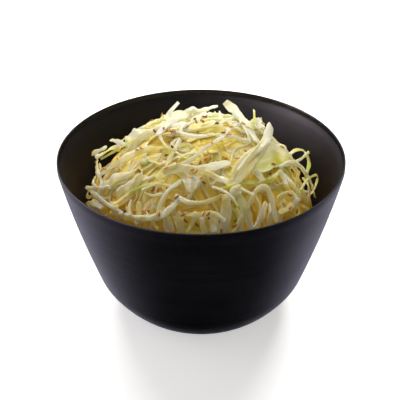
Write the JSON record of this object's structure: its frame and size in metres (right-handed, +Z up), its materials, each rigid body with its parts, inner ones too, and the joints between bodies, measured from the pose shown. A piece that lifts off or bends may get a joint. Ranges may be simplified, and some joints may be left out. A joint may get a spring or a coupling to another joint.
{
  "type": "bowl of shredded cabbage salad",
  "caption": "Deep black round bowl holding a loose domed heap of shredded cabbage salad sprinkled with toasted sesame seeds.",
  "frame": {"origin": "centre of the flat underside of the bowl", "axes": "+Z up through the middle of the bowl's mouth, -Y towards the front, +X to the right"},
  "size_m": [0.16, 0.16, 0.1137],
  "materials": {
    "black_satin": "black satin moulded resin with fine turned lines round the inside wall",
    "cabbage": "moist translucent raw cabbage shreds, white to pale yellow-green, with toasted sesame seeds"
  },
  "bodies": {
    "root": {"bowl": "black_satin", "slaw": "cabbage"}
  },
  "joints": []
}
